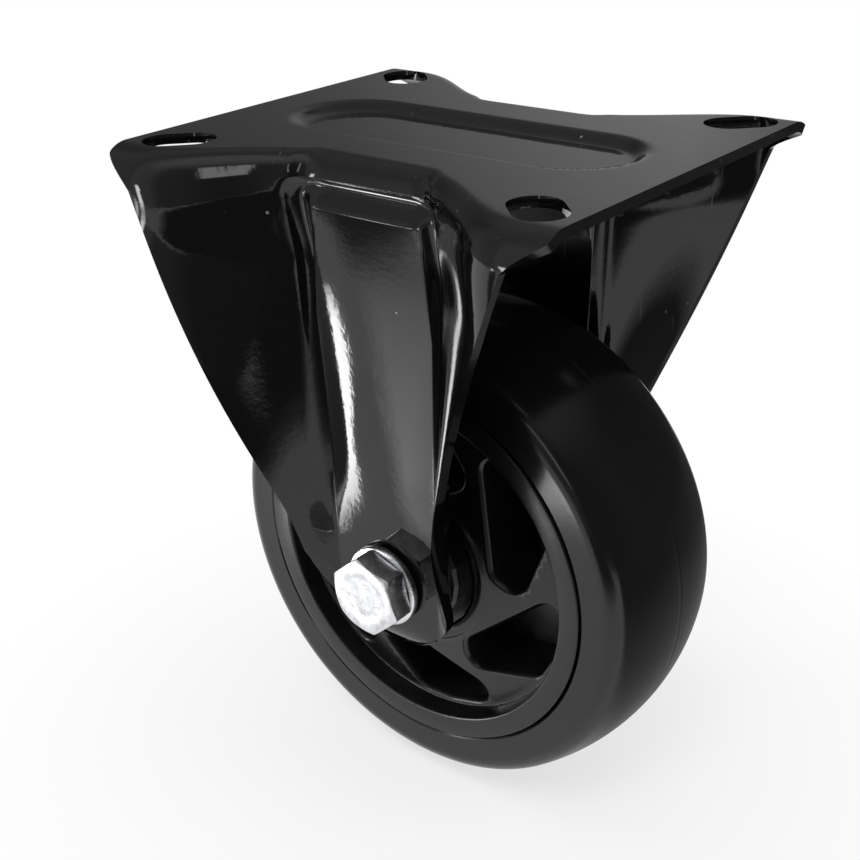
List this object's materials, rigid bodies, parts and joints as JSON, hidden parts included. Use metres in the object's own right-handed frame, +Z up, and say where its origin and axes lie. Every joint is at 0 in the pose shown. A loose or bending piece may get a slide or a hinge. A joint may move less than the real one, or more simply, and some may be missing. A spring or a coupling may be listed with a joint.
{
  "type": "fixed castor",
  "caption": "Fixed castor: pressed steel fork with a slotted top plate, a hexagon-headed axle bolt and a solid tyred wheel with a swirl-pocketed hub on ball bearings.",
  "frame": {"origin": "on the floor under the middle of the top plate, at the lowest point of the tyre", "axes": "+X along the rolling direction, +Y along the axle away from the bolt's head, +Z up"},
  "size_m": [0.1, 0.0888, 0.1333],
  "materials": {
    "black_paint": "gloss",
    "tyre_black": "smooth, slightly glossy",
    "hub_plastic": "satin",
    "zinc": "bright zinc plated",
    "bearing_steel": "ground",
    "cage_nylon": "matt",
    "insert_nylon": "matt"
  },
  "bodies": {
    "fork_and_axle": {"fork": "black_paint", "axle_bolt": "zinc", "bolt_washer": "zinc", "nut_washer": "zinc", "lock_nut": "zinc", "nut_insert": "insert_nylon", "axle_sleeve": "bearing_steel", "centre_spacer": "bearing_steel", "spacer_near": "bearing_steel", "spacer_far": "bearing_steel", "inner_ring_near": "bearing_steel", "inner_ring_far": "bearing_steel"},
    "wheel": {"tyre": "tyre_black", "wheel_hub": "hub_plastic", "dust_cap_near": "hub_plastic", "dust_cap_far": "hub_plastic", "outer_ring_near": "bearing_steel", "outer_ring_far": "bearing_steel", "outside_shield_near": "bearing_steel", "outside_shield_far": "bearing_steel", "inside_shield_near": "bearing_steel", "inside_shield_far": "bearing_steel"},
    "balls_near": {"cage_near": "cage_nylon", "ball_near_1": "bearing_steel", "ball_near_2": "bearing_steel", "ball_near_3": "bearing_steel", "ball_near_4": "bearing_steel", "ball_near_5": "bearing_steel", "ball_near_6": "bearing_steel", "ball_near_7": "bearing_steel"},
    "balls_far": {"cage_far": "cage_nylon", "ball_far_1": "bearing_steel", "ball_far_2": "bearing_steel", "ball_far_3": "bearing_steel", "ball_far_4": "bearing_steel", "ball_far_5": "bearing_steel", "ball_far_6": "bearing_steel", "ball_far_7": "bearing_steel"}
  },
  "joints": [
    {"name": "wheel_spin", "type": "hinge", "parent": "fork_and_axle", "child": "wheel", "pos_m": [0, 0, 0.05], "axis": [0, -1, 0], "continuous": true},
    {"name": "cage_near_spin", "type": "hinge", "parent": "fork_and_axle", "child": "balls_near", "pos_m": [0, 0, 0.05], "axis": [0, -1, 0], "continuous": true},
    {"name": "cage_far_spin", "type": "hinge", "parent": "fork_and_axle", "child": "balls_far", "pos_m": [0, 0, 0.05], "axis": [0, -1, 0], "continuous": true}
  ],
  "couplings": [
    {"joint": "cage_near_spin", "follows": "wheel_spin", "ratio": 0.62},
    {"joint": "cage_far_spin", "follows": "wheel_spin", "ratio": 0.62}
  ]
}
